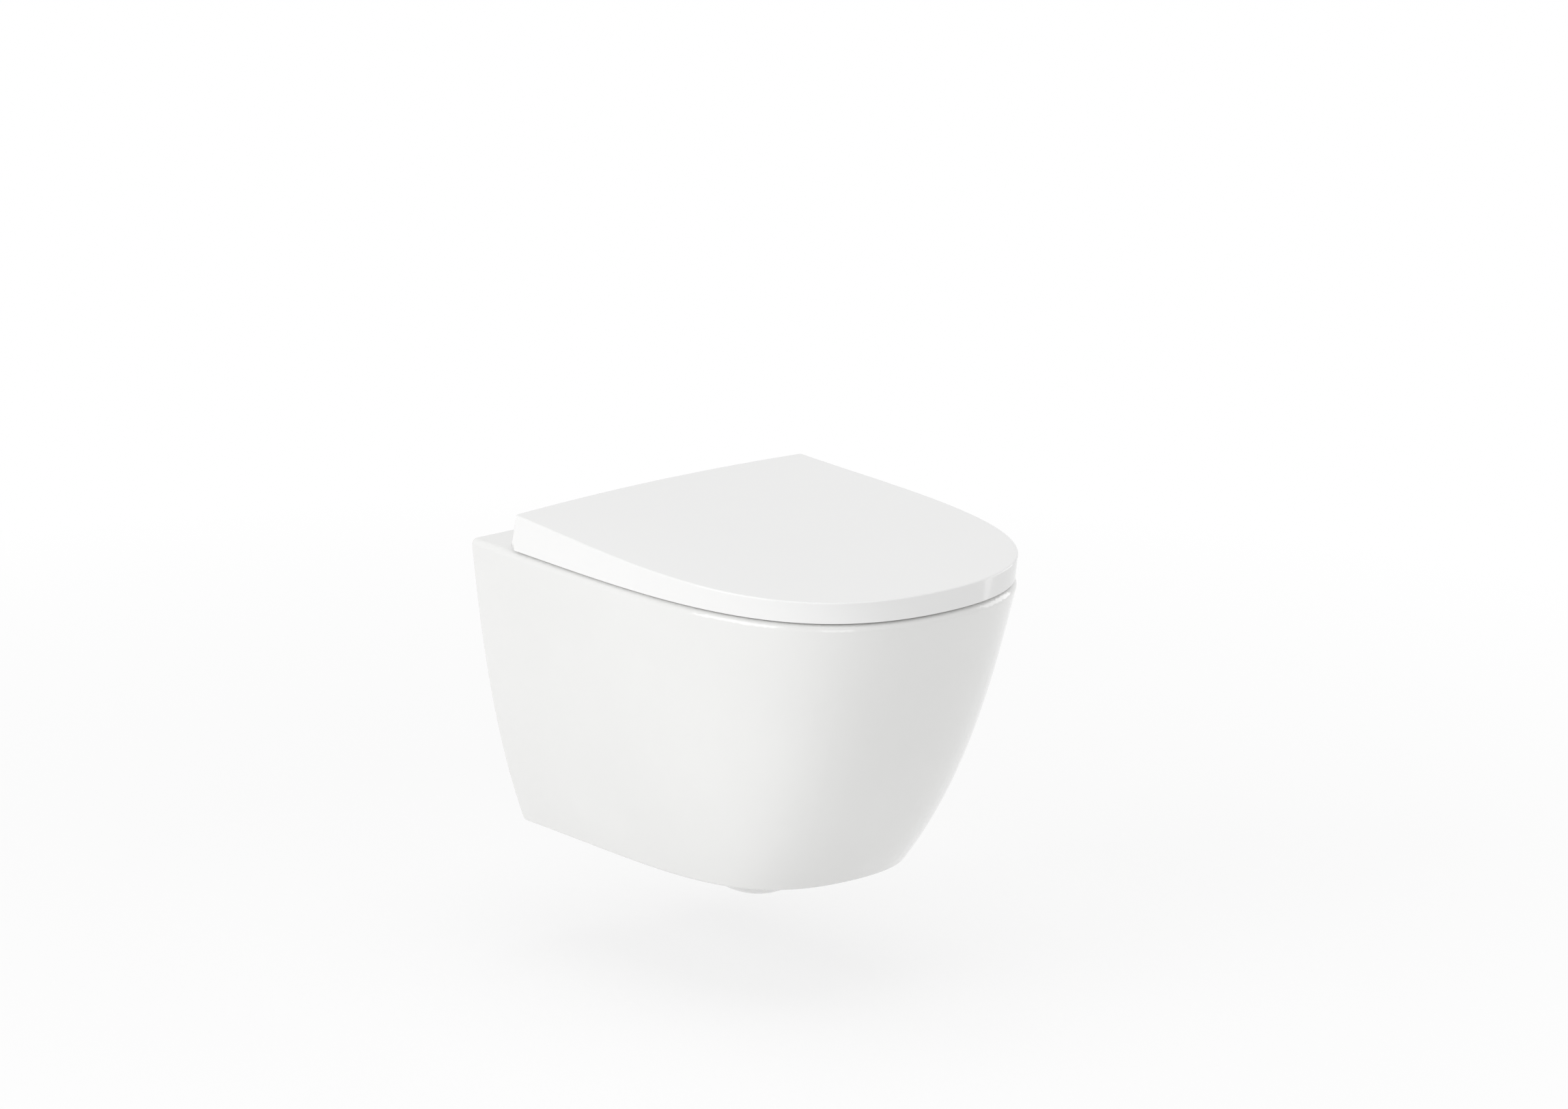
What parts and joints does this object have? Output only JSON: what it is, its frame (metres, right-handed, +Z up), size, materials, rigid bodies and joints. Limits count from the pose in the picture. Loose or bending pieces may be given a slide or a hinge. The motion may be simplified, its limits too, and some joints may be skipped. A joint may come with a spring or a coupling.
{
  "type": "wall hung toilet",
  "caption": "Wall-mounted ceramic toilet pan with a wrap-over lid and a seat ring on quick-release, soft-close hinges.",
  "frame": {"origin": "midway between the two wall fixings, in the plane of the wall", "axes": "+X right seen from the front, +Y into the wall, +Z up"},
  "size_m": [0.363, 0.4779, 0.3692],
  "materials": {
    "glazed_white": "gloss glaze",
    "seat_plastic": "gloss",
    "grey_rubber": "matt",
    "black_rubber": "matt",
    "hinge_chrome": "polished",
    "steel": "brushed",
    "white_nylon": "matt"
  },
  "bodies": {
    "pan": {"pan": "glazed_white", "hinge_pillars": "steel", "pillar_bases": "steel", "hinge_gaskets": "grey_rubber", "hinge_bolts": "steel", "expansion_sleeves": "black_rubber", "cone_nuts": "white_nylon", "fixing_sleeves": "white_nylon", "fixing_washers": "steel", "fixing_nuts": "steel", "inlet_seal": "black_rubber"},
    "hinge_carrier": {"hinge_block_left": "hinge_chrome", "hinge_block_right": "hinge_chrome", "hinge_pin_left": "steel", "hinge_pin_right": "steel", "damper_rotors": "white_nylon", "pin_grub_screws": "steel", "release_spring_left": "steel", "release_spring_right": "steel"},
    "release_button_left": {"release_button_left": "hinge_chrome"},
    "release_button_right": {"release_button_right": "hinge_chrome"},
    "seat": {"seat_ring": "seat_plastic", "seat_bush": "white_nylon", "seat_damper": "white_nylon", "seat_buffers": "grey_rubber"},
    "lid": {"lid": "seat_plastic", "lid_bush": "white_nylon", "lid_damper": "white_nylon", "lid_buffers": "grey_rubber"}
  },
  "joints": [
    {"name": "seat_lift_off", "type": "slide", "parent": "pan", "child": "hinge_carrier", "axis": [0, 0, 1], "range_m": [0, 0.05]},
    {"name": "seat_hinge", "type": "hinge", "parent": "hinge_carrier", "child": "seat", "pos_m": [0, -0.0725, 0.1], "axis": [-1, 0, 0], "range_deg": [0, 95]},
    {"name": "lid_hinge", "type": "hinge", "parent": "seat", "child": "lid", "pos_m": [0, -0.0725, 0.1], "axis": [1, 0, 0], "range_deg": [-95, 0]},
    {"name": "release_button_left_press", "type": "slide", "parent": "hinge_carrier", "child": "release_button_left", "axis": [0, 1, 0], "range_m": [0, 0.003], "stiffness_N_per_m": 400, "deforming": ["release_spring_left"]},
    {"name": "release_button_right_press", "type": "slide", "parent": "hinge_carrier", "child": "release_button_right", "axis": [0, 1, 0], "range_m": [0, 0.003], "stiffness_N_per_m": 400, "deforming": ["release_spring_right"]}
  ]
}
